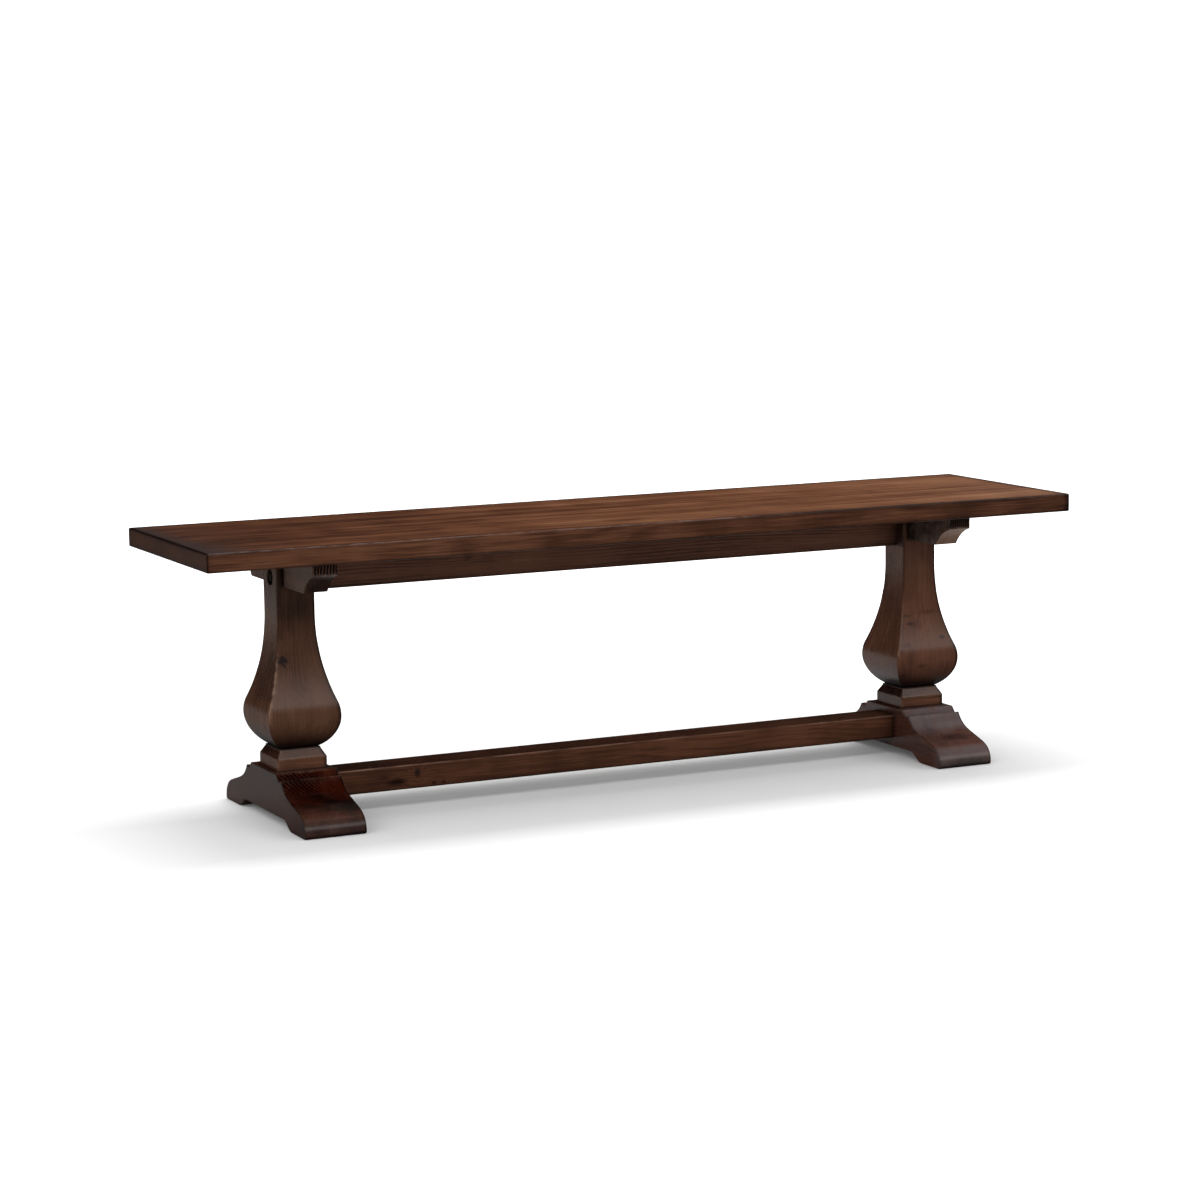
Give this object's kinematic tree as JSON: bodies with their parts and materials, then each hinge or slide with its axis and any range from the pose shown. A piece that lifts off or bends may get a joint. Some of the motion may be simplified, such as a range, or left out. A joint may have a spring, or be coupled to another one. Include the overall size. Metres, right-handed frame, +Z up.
{
  "type": "dining bench",
  "caption": "Trestle dining bench: long plank seat on square vase posts with collar blocks and arched, shaped feet, tied by an apron rail under the seat and a low stretcher.",
  "frame": {"origin": "on the floor, under the middle of the seat", "axes": "+X along the seat to the right as seen from the front, +Y from the front edge to the back edge, +Z up"},
  "size_m": [1.546, 0.386, 0.457],
  "materials": {
    "seat_wood": "dark walnut stain with darker glazed edges, satin lacquer",
    "base_wood": "espresso walnut stain, satin lacquer",
    "dowel_wood": "raw beech",
    "zinc_steel": "zinc plated",
    "bronzed_steel": "dark bronzed",
    "insert_brass": "plain brass"
  },
  "bodies": {
    "root": {"seat_board_front": "seat_wood", "seat_board_middle": "seat_wood", "seat_board_back": "seat_wood", "cross_bearer_left": "base_wood", "cross_bearer_right": "base_wood", "post_left": "base_wood", "post_right": "base_wood", "collar_block_left": "base_wood", "collar_block_right": "base_wood", "foot_left": "base_wood", "foot_right": "base_wood", "apron_rail": "base_wood", "lower_stretcher": "base_wood", "apron_bolt_left": "bronzed_steel", "apron_bolt_right": "bronzed_steel", "apron_bolt_washer_left": "bronzed_steel", "apron_bolt_washer_right": "bronzed_steel", "apron_barrel_nut_left": "zinc_steel", "apron_barrel_nut_right": "zinc_steel", "apron_dowel_upper_left": "dowel_wood", "apron_dowel_lower_left": "dowel_wood", "apron_dowel_upper_right": "dowel_wood", "apron_dowel_lower_right": "dowel_wood", "post_bolt_left": "zinc_steel", "post_bolt_right": "zinc_steel", "post_bolt_washer_left": "zinc_steel", "post_bolt_washer_right": "zinc_steel", "post_threaded_insert_left": "insert_brass", "post_threaded_insert_right": "insert_brass", "post_dowel_front_left": "dowel_wood", "post_dowel_back_left": "dowel_wood", "post_dowel_front_right": "dowel_wood", "post_dowel_back_right": "dowel_wood", "stretcher_screw_front_left": "zinc_steel", "stretcher_screw_back_left": "zinc_steel", "stretcher_screw_front_right": "zinc_steel", "stretcher_screw_back_right": "zinc_steel", "seat_screw_front_outer_left": "zinc_steel", "seat_screw_front_inner_left": "zinc_steel", "seat_screw_back_inner_left": "zinc_steel", "seat_screw_back_outer_left": "zinc_steel", "seat_screw_front_outer_right": "zinc_steel", "seat_screw_front_inner_right": "zinc_steel", "seat_screw_back_inner_right": "zinc_steel", "seat_screw_back_outer_right": "zinc_steel", "apron_screw_left": "zinc_steel", "apron_screw_middle": "zinc_steel", "apron_screw_right": "zinc_steel"}
  },
  "joints": []
}
